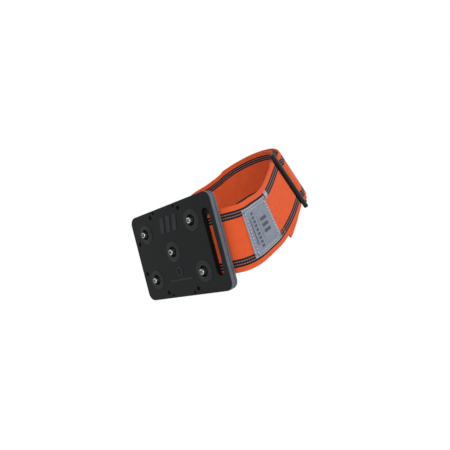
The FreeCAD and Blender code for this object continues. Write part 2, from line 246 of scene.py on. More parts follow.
OVER_ROUTE = [
    (by_buckle(RUN_START - 4, FOLD_MID - FOLD_R), BARS),
    (by_buckle(RUN_START, FOLD_MID - FOLD_R), BARS),
    *DOME,
    (V((0, -47.9, 116.7)), across(24.4)),
    *mirrored(DOME),
    (V((-42.6, -33.2, 92.0)), across(24.4, -0.11)),
    (V((-48.3, -27.6, 77.5)), across(24.4, -0.10)),
    *mirrored(SIDE),
    (V((-50.3, STRAP_Y, 4.0)), FLAT),
    (V((-48.8, STRAP_Y, 0.4)), FLAT),
    (V((-46.6, STRAP_Y, STRAP_MID_Z + 0.25)), FLAT),
    (V((RUN_LEFT_X, STRAP_Y, STRAP_MID_Z)), FLAT),
    (V((RUN_LEFT_X + 2, STRAP_Y, STRAP_MID_Z)), FLAT),
]


# ---------------------------------------------------------------- lines of webbing

def blend4(t, a, b, c, d):
    """Catmull-Rom value between b and c."""
    return (
        b * 2 + (c - a) * t + (a * 2 - b * 5 + c * 4 - d) * t**2 + (b * 3 - a - c * 3 + d) * t**3
    ) * 0.5


def smooth(rows, steps=10):
    """A route's rows as many short steps, each a point and the direction across."""
    line = []
    for four in zip(rows, rows[1:], rows[2:], rows[3:]):
        for k in range(steps):
            line.append(tuple(blend4(k / steps, *column) for column in zip(*four)))
    line.append(rows[-2])
    return line


def frames(points):
    """Rows of (distance, point, across, out) along a line, with out square to it."""
    rows = []
    distance = 0.0
    for i, (point, wide) in enumerate(points):
        if i:
            distance += (point - points[i - 1][0]).length
        ahead = points[min(i + 1, len(points) - 1)][0] - points[max(i - 1, 0)][0]
        wide = unit(wide)
        rows.append((distance, point, wide, unit(wide.cross(unit(ahead)))))
    return rows


def at(line, distance):
    """(point, across, out) at a distance along a line."""
    i = bisect.bisect_left(line, distance, lo=1, hi=len(line) - 1, key=lambda row: row[0])
    a, b = line[i - 1], line[i]
    t = (distance - a[0]) / max(b[0] - a[0], 1e-9)
    t = min(max(t, 0.0), 1.0)
    return tuple(p.lerp(q, t) for p, q in zip(a[1:], b[1:]))


def on(line, distance, side, lift):
    """The point at a distance along a line, moved across and out of it."""
    point, wide, out = at(line, distance)
    return point + wide * side + out * lift


def softened(points, passes):
    """The same points with their corners eased, keeping both ends."""
    places = [p for p, _ in points]
    for _ in range(passes):
        inner = [(a + b * 2 + c) / 4 for a, b, c in zip(places, places[1:], places[2:])]
        places = [places[0], *inner, places[-1]]
    return [(p, wide) for p, (_, wide) in zip(places, points)]


def resampled(points, step):
    """The same line with points evenly spaced."""
    line = frames(points)
    count = max(2, round(line[-1][0] / step))
    return [at(line, line[-1][0] * i / count)[:2] for i in range(count + 1)]


def arc(along, out, radius, start_deg, end_deg, count=20):
    """Points on an arc about one of the buckle's bars, with 0 degrees towards the far bar."""
    angles = [math.radians(start_deg + (end_deg - start_deg) * i / count) for i in range(count + 1)]
    return [(along + radius * math.cos(a), out + radius * math.sin(a)) for a in angles]


def tangent_deg(along, out, radius):
    """Where a line from a point below passes over a circle about the middle bar, as an angle."""
    bearing = math.atan2(-out, -along)
    return math.degrees(bearing + math.asin(radius / math.hypot(along, out))) + 90


def tail_lift(distance):
    """How far the tail's middle lies outside the run's, easing from the buckle's height."""
    t = min(1.0, distance / TAIL_SETTLE)
    ease = t * t * (3 - 2 * t)
    return 2 * FOLD_R + (SETTLED - 2 * FOLD_R) * ease


OUTER = frames(smooth(OUTER_ROUTE))
OVER = frames(smooth(OVER_ROUTE))
OUTER_L = OUTER[-1][0]
OVER_L = OVER[-1][0]
TAIL_ROOT = TAIL_AXIS - RUN_START


def pressed_in_plate(distance):
    """The webbing's thickness as a share of its own, where the layers press it and past the slot."""
    past = (distance - (RUN_END_X - RUN_LEFT_X)) / SWELL_LENGTH
    return PRESSED + (1 - PRESSED) * min(max(past, 0.0), 1.0)


def sewn_skew(distance):
    """How far askew the doubled end lies, so that its corner stands out at the strap's edge."""
    return CUT_SKEW * max(OUTER_L - distance, 0.0) / (OUTER_L - CUT_AT - CUT_SLANT)


def outer_line():
    """From the plate's inner edge, out of its slot, up to the buckle, round its middle bar and back."""
    under_run = [
        (V((x, STRAP_Y, STRAP_MID_Z)), FLAT) for x in range(round(RUN_LEFT_X), round(RUN_END_X), 4)
    ]
    gap = STRAP_T + LAYER_GAP
    back = UNDER_NEAR - gap
    over = tangent_deg(CLIMB_AT, UNDER_NEAR, LOOP_R)
    under = -tangent_deg(CLIMB_AT, -back, LOOP_R)
    loop = [
        (LOOP_START + 1.0, UNDER_NEAR),
        (CLIMB_AT - 0.3, UNDER_NEAR),
        (CLIMB_AT + 1.5, UNDER_NEAR + 1.6),
        *arc(0, 0, LOOP_R, over, under),
        (CLIMB_AT + 1.5, back + 0.7),
        (CLIMB_AT - 0.3, back),
        (LOOP_START + 1.0, back),
    ]
    loop = [(by_buckle(a, o), BARS) for a, o in loop]
    doubled = []
    distance = OUTER_L
    while distance > CUT_AT:
        _, wide, _ = at(OUTER, distance)
        doubled.append((on(OUTER, distance, sewn_skew(distance), -gap), wide))
        distance -= FINE
    there = [(p, w) for _, p, w, _ in OUTER]
    return frames(under_run + there + softened(resampled(loop, FINE), EASINGS) + doubled)


def fold_line():
    """From the run near the buckle, round the far bar, to where the tail starts."""
    steps = round(RUN_SPLIT)
    run = [at(OVER, RUN_SPLIT * i / steps)[:2] for i in range(steps, -1, -1)]
    wrap = [
        (FOLD_END, FOLD_MID - FOLD_R),
        *arc(FAR_MID - WRAP_SLACK, FOLD_MID, FOLD_R, 270, 90),
        (FOLD_END, FOLD_MID + FOLD_R),
    ]
    wrap = [(by_buckle(a, o), BARS) for a, o in wrap]
    root = (on(OVER, TAIL_ROOT, 0, tail_lift(TAIL_ROOT)), at(OVER, TAIL_ROOT)[1])
    return frames(resampled([*run, *wrap, root], FINE))


# ---------------------------------------------------------------- meshes

def make_piece(name, points, faces, material, weave=None, caps=0):
    """An object from points in millimetres. weave gives (along, across, side) to the material, and
    the last faces, the caps, are shaded flat."""
    mesh = bpy.data.meshes.new(name)
    mesh.from_pydata([p * MM for p in points], [], faces)
    mesh.validate()
    rounded = len(mesh.polygons) - caps
    mesh.polygons.foreach_set("use_smooth", [i < rounded for i in range(len(mesh.polygons))])
    if weave:
        layer = mesh.attributes.new("weave", "FLOAT_VECTOR", "POINT")
        layer.data.foreach_set("vector", [c for w in weave for c in w])
    mesh.materials.append(material)
    piece = bpy.data.objects.new(name, mesh)
    bpy.context.scene.collection.objects.link(piece)
    return piece


def columns(width):
    """Positions across the webbing, close together where the striped yarns stand up."""
    side = width / 2 - EDGE_R
    places = {0.0, side}
    places.update(i * MIDDLE_STEP for i in range(1, int(STRIPE_IN / MIDDLE_STEP) + 1))
    places.update(STRIPE_IN + STRIPE_STEP * i for i in range(round(2 * STRIPE_HALF / STRIPE_STEP) + 1))
    places.update(STRIPE_OUT + EDGE_STEP * i for i in range(1, 4))
    right = sorted(x for x in places if x <= side)
    return [-x for x in reversed(right)] + right[1:]


def stripe_ridge(a):
    """The height of the three dark yarns that stand up in each edge stripe."""
    off = abs(a) - STRIPE_MID
    if abs(off) > STRIPE_HALF:
        return 0.0
    return YARN_RIDGE * (0.5 + 0.5 * math.cos(2 * math.pi * off / YARN_PITCH))


def webbing_ring(width, thickness):
    """The webbing's section, as (across, up) once round: ridged stripes, and edges that are rounded."""
    half = width / 2
    top = [(a, thickness / 2 + stripe_ridge(a)) for a in columns(width)]
    edge = [
        (half - EDGE_R + EDGE_R * math.sin(b), (thickness / 2) * math.cos(b) ** 0.8)
        for b in (math.radians(d) for d in (35, 62, 80))
    ]
    right = edge + [(a, -h) for a, h in reversed(edge)]
    bottom = [(a, -h) for a, h in reversed(top)]
    left = [(-a, -h) for a, h in right]
    return top + right + bottom + left, len(top)


def plain_ring(width, thickness):
    """A flat strip's section with eased edges."""
    half = width / 2
    count = max(4, round(width / PLAIN_STEP))
    edge = min(PLAIN_EDGE, thickness / 2)
    places = [(-half + edge) + (width - 2 * edge) * i / count for i in range(count + 1)]
    top = [(a, thickness / 2) for a in places]
    right = [(half - edge * 0.25, thickness / 2 - edge * 0.3), (half, thickness / 2 - edge)]
    right += [(a, -h) for a, h in reversed(right)]
    bottom = [(a, -h) for a, h in reversed(top)]
    left = [(-a, -h) for a, h in right]
    return top + right + bottom + left, len(top)


def ribbon(name, line, start, end, ring, material, lift=0.0, step=0.8, wander=0.12, pile=0.0,
           press=None, woven=0.0, slant=0.0):
    """A closed strip along a line. lift moves it out, wander and pile make it a little uneven, press
    thins it, woven is added to its distances so that its weave goes on from the piece before, and
    slant is how much shorter it is cut at one edge than at the other."""
    section, on_top = ring
    half = max(a for a, _ in section)
    count = max(2, round((end - start) / step))
    size = len(section)
    points, weave, faces = [], [], []
    for i in range(count + 1):
        distance = start + (end - start) * i / count
        point, wide, out = at(line, distance)
        raised = lift(distance) if callable(lift) else lift
        thin = press(distance) if press else 1.0
        drift = wander * noise.noise(V((distance * WANDER_RATE, 3.1, len(name))))
        short = slant * max(0.0, 1 - (end - distance) / (2 * slant)) if slant else 0.0
        for a, h in section:
            back = short * (1 + a / half) / 2
            if short:
                point, wide, out = at(line, distance - back)
            rough = pile * noise.noise(V((distance * PILE_RATE, a * PILE_RATE, h * 5)))
            points.append(point + wide * (a + drift) + out * (raised + h * thin + rough))
            weave.append((distance - back + woven, a, 1.0 if h > 0 else -1.0))
    for i in range(count):
        for k in range(size):
            n = (k + 1) % size
            a, b = i * size, (i + 1) * size
            faces.append((a + k, a + n, b + n, b + k))
    caps = end_cap(0, size, on_top, False) + end_cap(count * size, size, on_top, True)
    return make_piece(name, points, faces + caps, material, weave, len(caps))


def end_cap(first, size, on_top, turned):
    """Closes the end of a strip, with faces between its top and its bottom."""
    top = list(range(on_top))
    edge = (size - 2 * on_top) // 2
    bottom = list(range(2 * on_top + edge - 1, on_top + edge - 1, -1))
    faces = [(top[k], bottom[k], bottom[k + 1], top[k + 1]) for k in range(on_top - 1)]
    faces.append(tuple([top[-1], bottom[-1], *range(on_top + edge - 1, on_top - 1, -1)]))
    faces.append(tuple([bottom[0], top[0], *range(size - 1, 2 * on_top + edge - 1, -1)]))
    if turned:
        faces = [tuple(reversed(f)) for f in faces]
    return [tuple(first + k for k in f) for f in faces]


def threads(name, stitches, radius, material):
    """Short threads that dip into the cloth at both ends. A stitch is (start, end, out, height)."""
    sides, steps = 8, 6
    points, faces = [], []
    for start, end, out, height in stitches:
        along = end - start
        wide = unit(out.cross(along))
        first = len(points)
        for i in range(steps + 1):
            t = i / steps
            arch = math.sin(math.pi * t) ** 0.5 if 0 < t < 1 else 0.0
            centre = start + along * t + out * (height * arch - radius * (1 - arch))
            thick = radius * (THREAD_END + (1 - THREAD_END) * arch)
            for k in range(sides):
                b = 2 * math.pi * k / sides
                points.append(centre + wide * (thick * math.cos(b)) + out * (thick * math.sin(b)))
        for i in range(steps):
            for k in range(sides):
                n = (k + 1) % sides
                a, b = first + i * sides, first + (i + 1) * sides
                faces.append((a + k, a + n, b + n, b + k))
        faces.append(tuple(first + k for k in reversed(range(sides))))
        faces.append(tuple(first + steps * sides + k for k in range(sides)))
    return make_piece(name, points, faces, material)


def stitch_row(line, path, lift, pitch, share, height):
    """Stitches along straight runs on a line. path is a list of (distance, side) corners."""
    made = []
    for (d0, s0), (d1, s1) in zip(path, path[1:]):
        count = max(1, round(math.hypot(d1 - d0, s1 - s0) / pitch))
        for i in range(count):
            t0 = (i + (1 - share) / 2) / count
            t1 = (i + (1 + share) / 2) / count
            ends = [on(line, d0 + (d1 - d0) * t, s0 + (s1 - s0) * t, lift) for t in (t0, t1)]
            out = at(line, d0 + (d1 - d0) * (t0 + t1) / 2)[2]
            made.append((*ends, out, height))
    return made


def rectangle(low, high, reach):
    """The corners of a closed row of stitches, from low to high along and reach to either side."""
    return [(low, -reach), (high, -reach), (high, reach), (low, reach), (low, -reach)]


# ---------------------------------------------------------------- materials

class Nodes:
    """Builds a material's nodes with short calls."""

    def __init__(self, name):
        self.material = bpy.data.materials.new(name)
        self.material.use_nodes = True
        self.tree = self.material.node_tree
        self.shader = self.tree.nodes["Principled BSDF"]

    def put(self, socket, value):
        if isinstance(value, bpy.types.NodeSocket):
            self.tree.links.new(value, socket)
        elif isinstance(value, tuple) and len(value) == 3 and socket.type == "RGBA":
            socket.default_value = (*value, 1.0)
        else:
            socket.default_value = value

    def node(self, kind, **inputs):
        made = self.tree.nodes.new(kind)
        for name, value in inputs.items():
            self.put(made.inputs[name.replace("_", " ")], value)
        return made

    def set(self, **inputs):
        for name, value in inputs.items():
            self.put(self.shader.inputs[name.replace("_", " ")], value)

    def math(self, operation, *values):
        made = self.tree.nodes.new("ShaderNodeMath")
        made.operation = operation
        for socket, value in zip(made.inputs, values):
            self.put(socket, value)
        return made.outputs[0]

    def mix(self, factor, a, b):
        made = self.tree.nodes.new("ShaderNodeMix")
        made.data_type = "RGBA"
        sockets = [made.inputs[0], made.inputs[6], made.inputs[7]]
        for socket, value in zip(sockets, (factor, a, b)):
            self.put(socket, value)
        return made.outputs[2]

    def ramp(self, value, low, high, to_low=0.0, to_high=1.0):
        """value from low..high to to_low..to_high, clamped and eased."""
        made = self.tree.nodes.new("ShaderNodeMapRange")
        made.interpolation_type = "SMOOTHSTEP"
        for socket, v in zip(made.inputs, (value, low, high, to_low, to_high)):
            self.put(socket, v)
        return made.outputs[0]

    def noise(self, place, scale, detail=3.0, rough=0.55):
        made = self.node(
            "ShaderNodeTexNoise", Vector=place, Scale=scale, Detail=detail, Roughness=rough
        )
        return made.outputs[0]

    def place(self):
        return self.node("ShaderNodeTexCoord").outputs["Object"]

    def weave(self):
        """(along, across) of the cloth, in millimetres, and both as one vector."""
        made = self.tree.nodes.new("ShaderNodeAttribute")
        made.attribute_name = "weave"
        split = self.node("ShaderNodeSeparateXYZ", Vector=made.outputs["Vector"])
        return split.outputs[0], split.outputs[1], made.outputs["Vector"]

    def wave(self, value, period, shift=0.0):
        """A 0..1 wave along a coordinate."""
        turned = self.math("MULTIPLY_ADD", value, 2 * math.pi / period, shift)
        return self.math("MULTIPLY_ADD", self.math("SINE", turned), 0.5, 0.5)

    def bump(self, height, distance, strength):
        made = self.node("ShaderNodeBump", Height=height, Distance=distance, Strength=strength)
        return made.outputs[0]


def webbing_material():
    """Orange webbing with a striped band of dark and pale yarns inside each edge."""
    n = Nodes("orange_webbing")
    along, side, both = n.weave()
    off = n.math("SUBTRACT", n.math("ABSOLUTE", side), STRIPE_MID)
    in_stripe = n.math("LESS_THAN", n.math("ABSOLUTE", off), STRIPE_HALF)

    # the plain weave: warp yarns side by side, crossed by ribs that step half a rib at each yarn
    warp = n.wave(side, WARP)
    step = n.math("MULTIPLY", n.math("ROUND", n.math("DIVIDE", side, WARP)), RIB / 2)
    rib = n.wave(n.math("ADD", along, step), RIB)
    raised_warp = n.math("MULTIPLY_ADD", warp, 0.5, 0.5)
    cloth = n.math("MULTIPLY", raised_warp, n.math("MULTIPLY_ADD", rib, 0.6, 0.4))

    # the stripe: dotted dark yarns, with pale dashes between them
    dark_line = n.wave(off, YARN_PITCH, math.pi / 2)
    dot = n.wave(along, DASH, 0.6)
    pale_dash = n.wave(along, DASH, 2.2)
    dark = n.ramp(n.math("MULTIPLY", dark_line, n.math("MULTIPLY_ADD", dot, 0.4, 0.72)), 0.22, 0.5)
    pale_line = n.math("SUBTRACT", 1.0, dark_line)
    pale = n.math("MULTIPLY", pale_line, n.math("MULTIPLY_ADD", pale_dash, 0.6, 0.4))

    # the colours: uneven orange, with painted shade down in the weave, and the stripe over it
    tone = n.noise(both, 0.16, 4.0)
    speck = n.noise(both, 2.6, 2.0)
    orange = n.mix(n.ramp(tone, 0.25, 0.75), (0.76, 0.100, 0.022), (0.83, 0.120, 0.029))
    # painted shade: the orange is darker where the weave lies low
    painted_shade = n.math("MULTIPLY", n.math("SUBTRACT", 1.0, cloth), 0.55)
    orange = n.mix(painted_shade, orange, (0.44, 0.034, 0.008))
    orange = n.mix(n.math("MULTIPLY", speck, 0.08), orange, (0.92, 0.24, 0.10))
    stripe = n.mix(n.ramp(pale, 0.25, 0.8), (0.075, 0.024, 0.022), (0.27, 0.14, 0.135))
    stripe = n.mix(dark, stripe, (0.010, 0.006, 0.008))
    n.set(Base_Color=n.mix(in_stripe, orange, stripe))
    height = n.math("ADD", cloth, n.math("MULTIPLY", n.math("MULTIPLY", in_stripe, dot), 0.5))
    n.set(Normal=n.bump(height, 0.00016, 0.8))
    n.set(Roughness=n.ramp(n.math("ADD", cloth, n.math("MULTIPLY", speck, 0.3)), 0.1, 1.1, 0.78, 0.55))
    n.set(Sheen_Weight=0.06, Sheen_Roughness=0.45, Specular_IOR_Level=0.12)
    n.set(Sheen_Tint=(1.0, 0.62, 0.45))
    return n.material


def inside_bar(n, value, low, high):
    """1 where low < value < high, with slightly soft edges."""
    soft = 0.12
    rise = n.ramp(value, low - soft, low + soft)
    fall = n.ramp(value, high - soft, high + soft, 1.0, 0.0)
    return n.math("MULTIPLY", rise, fall)


def printed(n, along, side, low, high, reach, pitch=None, cut=None):
    """Ink from low to high along the label, cut by a wave into marks where a pitch is given."""
    ink = n.math("MULTIPLY", inside_bar(n, along, low, high), inside_bar(n, side, -reach, reach))
    if pitch:
        ink = n.math("MULTIPLY", ink, n.ramp(n.wave(side, pitch, math.pi / 2), *cut))
    return ink


def label_material():
    """Grey label cloth with a plain printed pattern: a rule, equal dashes, dots and three bars."""
    n = Nodes("grey_label")
    along, side, both = n.weave()
    along = n.math("SUBTRACT", along, LABEL_START)
    twill = n.wave(n.math("ADD", side, along), 0.55)
    tone = n.noise(both, 0.22, 4.0)
    grain = n.noise(both, 3.2, 2.0)
    cloth = n.mix(n.ramp(tone, 0.3, 0.7), (0.175, 0.195, 0.245), (0.215, 0.237, 0.295))
    cloth = n.mix(n.math("MULTIPLY", twill, 0.25), cloth, (0.14, 0.157, 0.20))

    # paler at the edges, and painted shade in the dents where the stitches press in
    offs = (n.math("ABSOLUTE", side), n.math("ABSOLUTE", n.math("SUBTRACT", along, LABEL_L / 2)))
    edges, seams = [], []
    for off, half in zip(offs, (LABEL_W / 2, LABEL_L / 2)):
        edges.append(n.ramp(off, half - 1.0, half - 0.4))
        seams.append(n.math("ABSOLUTE", n.math("SUBTRACT", off, half - LABEL_EDGE)))
    edge = n.math("MAXIMUM", *edges)
    cloth = n.mix(n.math("MULTIPLY", edge, 0.7), cloth, (0.42, 0.42, 0.46))
    # painted shade: the cloth darker along the stitch lines
    seam_shade = n.ramp(n.math("MINIMUM", *seams), 0.25, 0.5, 1.0, 0.0)
    cloth = n.mix(n.math("MULTIPLY", seam_shade, 0.75), cloth, (0.085, 0.10, 0.135))

    # the print: where each row starts and ends, its reach to either side, and how it is cut
    rule = printed(n, along, side, 5.3, 6.3, 9.0)
    dashes = printed(n, along, side, 8.6, 11.2, 12.6, 2.8, (0.25, 0.45))
    dots = printed(n, along, side, 13.4, 14.2, 8.1, 1.8, (0.35, 0.6))
    bars = printed(n, along, side, 16.6, 24.4, 6.3, 4.2, (0.35, 0.5))
    ink = n.math("MAXIMUM", n.math("MAXIMUM", rule, dots), n.math("MAXIMUM", dashes, bars))
    ink = n.math("MULTIPLY", ink, n.ramp(grain, 0.25, 0.5, 0.8, 0.97))
    n.set(Base_Color=n.mix(ink, cloth, (0.033, 0.040, 0.055)))
    n.set(Normal=n.bump(n.math("ADD", twill, n.math("MULTIPLY", grain, 0.6)), 0.00006, 0.5))
    n.set(Roughness=n.ramp(grain, 0.2, 0.8, 0.5, 0.68))
    n.set(Specular_IOR_Level=0.4, Sheen_Weight=0.1)
    return n.material


def thread_material(name, colour, shade):
    """Twisted thread, in its colour and a shade between the plies."""
    n = Nodes(name)
    place = n.place()
    twist = n.noise(place, 2600.0, 2.0)
    n.set(Base_Color=n.mix(n.ramp(twist, 0.3, 0.7), shade, colour))
    n.set(Normal=n.bump(twist, 0.00004, 0.6), Roughness=n.ramp(twist, 0.2, 0.8, 0.45, 0.65))
    n.set(Sheen_Weight=0.2)
    return n.material


def on_side_walls(n, x, y):
    """1 on the plates' outer side walls and round their corners, 0 on the faces inside them. It places
    the painted reflection on those walls.
    """
    _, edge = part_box("tread_plate")
    ease_from, ease_to = 0.9, 0.5
    past, beyond = [], []
    for value, limit in ((x, edge.x), (y, edge.y)):
        off = n.math("ABSOLUTE", value)
        past.append(n.ramp(off, limit - ease_from * MM, limit - ease_to * MM))
        beyond.append(n.math("MAXIMUM", n.math("SUBTRACT", off, limit - CORNER_R * MM), 0.0))
    in_corner = n.math("MULTIPLY", *(n.math("GREATER_THAN", b, 0.0) for b in beyond))
    reach = n.math("SQRT", n.math("ADD", *(n.math("POWER", b, 2.0) for b in beyond)))
    round_corner = n.ramp(reach, (CORNER_R - ease_from) * MM, (CORNER_R - ease_to) * MM)
    past_corner = n.math("MULTIPLY", in_corner, round_corner)
    return n.math("MAXIMUM", past_corner, n.math("MAXIMUM", *past))


def moulded_material():
    """Black moulded nylon with a fine spark texture. It is lighter in patches where it stands proud of
    the face, has painted shade in the recesses of its face, and is painted blue-grey on the plates'
    outer side walls, a painted reflection of the soft light that those walls catch."""
    n = Nodes("moulded_nylon")
    place = n.place()
    x, y, z = n.node("ShaderNodeSeparateXYZ", Vector=place).outputs
    above_face = n.ramp(z, (FACE_Z + 0.35) * MM, (FACE_Z + 0.9) * MM)
    wall_sheen_mask = n.math("MULTIPLY", on_side_walls(n, x, y), above_face)
    grain = n.noise(place, 5200.0, 3.0, 0.6)
    cloud = n.noise(place, 90.0, 4.0)
    scuff = n.noise(place, 420.0, 6.0, 0.7)
    proud = n.ramp(z, (FACE_Z - 0.20) * MM, (FACE_Z - 0.05) * MM, 1.0, 0.0)
    black = n.mix(n.ramp(cloud, 0.3, 0.7), (0.0095, 0.0105, 0.0105), (0.0130, 0.0140, 0.0140))
    # lighter in patches where the marks stand proud of the face
    proud_lighter = n.math("MULTIPLY", proud, n.ramp(scuff, 0.3, 0.65, 0.45, 1.0))
    black = n.mix(proud_lighter, black, (0.030, 0.032, 0.033))
    dusty = n.math("MULTIPLY", n.ramp(scuff, 0.62, 0.8), 0.2)
    black = n.mix(dusty, black, (0.045, 0.047, 0.049))
    # painted shade: near black inside the recesses of the face, up to the plates' joint
    painted_shade = n.ramp(z, (FACE_Z + 0.15) * MM, (FACE_Z + 0.7) * MM)
    painted_shade = n.math("MULTIPLY", painted_shade, n.math("LESS_THAN", z, (SPLIT_Z - 0.1) * MM))
    black = n.mix(painted_shade, black, (0.004, 0.0045, 0.0045))
    # painted reflection: blue-grey on the plates' outer side walls, standing in for the soft light they
    # reflect
    painted_wall_sheen = n.mix(n.ramp(scuff, 0.35, 0.7), (0.100, 0.110, 0.134), (0.128, 0.138, 0.164))
    n.set(Base_Color=n.mix(wall_sheen_mask, black, painted_wall_sheen))
    n.set(Normal=n.bump(grain, 0.00004, 0.35))
    smoother = n.math("MULTIPLY", proud, -0.3)
    n.set(Roughness=n.ramp(n.math("ADD", cloud, smoother), 0.0, 0.8, 0.45, 0.62))
    n.set(Specular_IOR_Level=0.2)
    return n.material


def buckle_material():
    """Satin acetal with faint flow marks and fine scratches."""
    n = Nodes("black_acetal")
    place = n.place()
    flow = n.noise(place, 60.0, 3.0)
    stretched = n.node("ShaderNodeMapping", Vector=place, Scale=(900.0, 120.0, 500.0)).outputs[0]
    scratch = n.noise(stretched, 1.0, 4.0, 0.65)
    n.set(Base_Color=n.mix(n.ramp(flow, 0.3, 0.7), (0.007, 0.007, 0.007), (0.011, 0.011, 0.012)))
    n.set(Normal=n.bump(scratch, 0.00003, 0.25))
    n.set(Roughness=n.ramp(scratch, 0.25, 0.75, 0.3, 0.45), Specular_IOR_Level=0.28)
    return n.material


def metal_material(name, colour, dark, rough, ring_scale):
    """Metal with fine marks from turning, darker and rougher where it is stained."""
    n = Nodes(name)
    place = n.place()
    stain = n.noise(place, 700.0, 5.0, 0.65)
    turned = n.node("ShaderNodeMapping", Vector=place, Scale=(300.0, 300.0, ring_scale)).outputs[0]
    rings = n.noise(turned, 1.0, 3.0)
    n.set(Base_Color=n.mix(n.ramp(stain, 0.42, 0.72), colour, dark), Metallic=1.0)
    n.set(Normal=n.bump(rings, 0.00003, 0.35))
    n.set(Roughness=n.ramp(stain, 0.3, 0.75, rough, rough + 0.2))
    return n.material


def pile_material(name, colour, light, scale, depth):
    """Hook tape or loop tape: small rows of tufts, lighter where they stand up, with painted light on
    their tops and painted shade between them.
    """
    n = Nodes(name)
    along, side, both = n.weave()
    fuzz = n.noise(both, scale, 4.0, 0.7)
    rows = n.math("MULTIPLY", n.wave(side, 1.1), n.wave(along, 1.1))
    height = n.math("ADD", fuzz, n.math("MULTIPLY", rows, 0.5))
    # painted light and shade: the colour follows the tufts' height, lighter on top and darker between
    n.set(Base_Color=n.mix(n.ramp(height, 0.4, 1.1), colour, light), Roughness=0.9)
    n.set(Normal=n.bump(height, depth, 0.9), Sheen_Weight=0.5, Sheen_Roughness=0.5)
    return n.material


# ---------------------------------------------------------------- pieces

def webbing_pieces(cloth):
    """The strap: its buckle end, its free end, the stretch round the far bar, and the tail."""
    ring = webbing_ring(STRAP_W, STRAP_T)
    line = outer_line()
    outer = ribbon(
        "webbing_outer", line, OUTER_START, line[-1][0], ring, cloth,
        press=pressed_in_plate, slant=CUT_SLANT,
    )
    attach(outer, "cleat")
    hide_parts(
        "strap_under_run", "strap_outer_side", "strap_buckle_loop", "strap_sewn_end"
    )
    over = ribbon("webbing_over", OVER, RUN_SPLIT, OVER_L, ring, cloth, wander=0.0)
    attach(over, "cleat")
    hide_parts("strap_instep_run", "strap_inner_side")

    wrap = fold_line()
    fold = ribbon("webbing_fold", wrap, 0, wrap[-1][0], ring, cloth, step=FINE, wander=0.0)
    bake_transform(fold)
    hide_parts("strap_fold")

    tail = ribbon(
        "webbing_tail", OVER, TAIL_ROOT, TAIL_LENGTH, ring, cloth, lift=tail_lift, wander=0.0,
        woven=wrap[-1][0] - TAIL_ROOT,
    )
    root = on(OVER, TAIL_ROOT, 0, tail_lift(TAIL_ROOT))
    bent = on(OVER, TAIL_ROOT + 6.0, 0, tail_lift(TAIL_ROOT + 6.0))
    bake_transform(tail)
    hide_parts("strap_tail")


def sewn_pieces(label_cloth, pale_thread, orange_thread):
    """The label, its stitches, the rows that close the doubled end, and the corner tack."""
    label = ribbon(
        "label_cloth", OUTER, LABEL_START, LABEL_END, plain_ring(LABEL_W, LABEL_T), label_cloth,
        lift=STRAP_T / 2 + LABEL_T / 2 + 2 * SKIN_GAP, wander=0.0,
    )
    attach(label, "cleat")
    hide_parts("label_patch")

    on_label = STRAP_T / 2 + LABEL_T + 2 * SKIN_GAP
    low, high = LABEL_START + LABEL_EDGE, LABEL_END - LABEL_EDGE
    reach = LABEL_W / 2 - LABEL_EDGE
    border = stitch_row(OUTER, rectangle(low, high, reach), on_label, *LABEL_ROW)
    seams = threads("label_stitches", border, LABEL_THREAD_R, pale_thread)
    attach(seams, "cleat")
    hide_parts("label_thread")

    on_strap = STRAP_T / 2
    rows = []
    for row in LOOP_SEW_ROWS:
        path = [(LABEL_END + row, -LOOP_SEW_L / 2), (LABEL_END + row, LOOP_SEW_L / 2)]
        rows += stitch_row(OUTER, path, on_strap, *SEWN_END_ROW)
    sewing = threads("doubled_end_stitches", rows, STRAP_THREAD_R, orange_thread)
    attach(sewing, "cleat")
    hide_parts("loop_thread")

    tack = []
    for k in range(TACKS):
        d = LABEL_END + TACK_START + TACK_STEP * k
        lean = TACK_LEAN if k % 2 else -TACK_LEAN
        path = [(d - lean, TACK_SIDES[0]), (d + lean, TACK_SIDES[1])]
        tack += stitch_row(OUTER, path, on_strap + TACK_LIFT, *TACK_ROW)
    corner = threads("corner_tack", tack, TACK_THREAD_R, pale_thread)
    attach(corner, "cleat")


def closure_pieces(loops, hooks, orange_thread):
    """Loop tape on the strap, hook tape under the tail, and the tail's box of stitches."""
    pad = plain_ring(PATCH_W, PATCH_T)
    loop = ribbon(
        "loop_tape", OVER, *LOOP_PATCH, pad, loops,
        lift=(STRAP_T + PATCH_T) / 2 + SKIN_GAP, wander=0.0, pile=0.10,
    )
    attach(loop, "cleat")
    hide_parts("loop_patch")
    hook = ribbon(
        "hook_tape", OVER, *HOOK_PATCH, pad, hooks,
        lift=SETTLED - (STRAP_T + PATCH_T) / 2 - SKIN_GAP, wander=0.0, pile=0.06,
    )
    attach(hook, "tail")
    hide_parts("hook_patch")

    low, high = HOOK_PATCH[0] + TAIL_EDGE, HOOK_PATCH[1] - TAIL_EDGE
    box = rectangle(low, high, PATCH_W / 2 - TAIL_EDGE)
    on_tail = SETTLED + STRAP_T / 2
    sewing = threads(
        "tail_stitches", stitch_row(OVER, box, on_tail, *TAIL_ROW), STRAP_THREAD_R, orange_thread
    )
    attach(sewing, "tail")


def paint_cad_parts():
    """Materials for the hard parts, which keep their CAD shapes."""
    nylon = moulded_material()
    steel = metal_material("turned_steel", (0.78, 0.77, 0.75), (0.20, 0.19, 0.17), 0.25, 9000.0)
    carbide = metal_material("ground_carbide", (0.20, 0.20, 0.205), (0.05, 0.05, 0.05), 0.34, 4000.0)
    black = metal_material("black_oxide", (0.03, 0.031, 0.033), (0.010, 0.010, 0.010), 0.45, 3000.0)
    paints = {"tread_plate": nylon, "base_plate": nylon, "plate_screws": black}
    paints["buckle_frame"] = buckle_material()
    for number in range(1, 6):
        paints[f"stud_{number}"] = steel
        paints[f"carbide_pin_{number}"] = carbide
    for name, material in paints.items():
        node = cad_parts[name]
        node.data.materials.clear()
        node.data.materials.append(material)
        node.data.polygons.foreach_set("material_index", [0] * len(node.data.polygons))


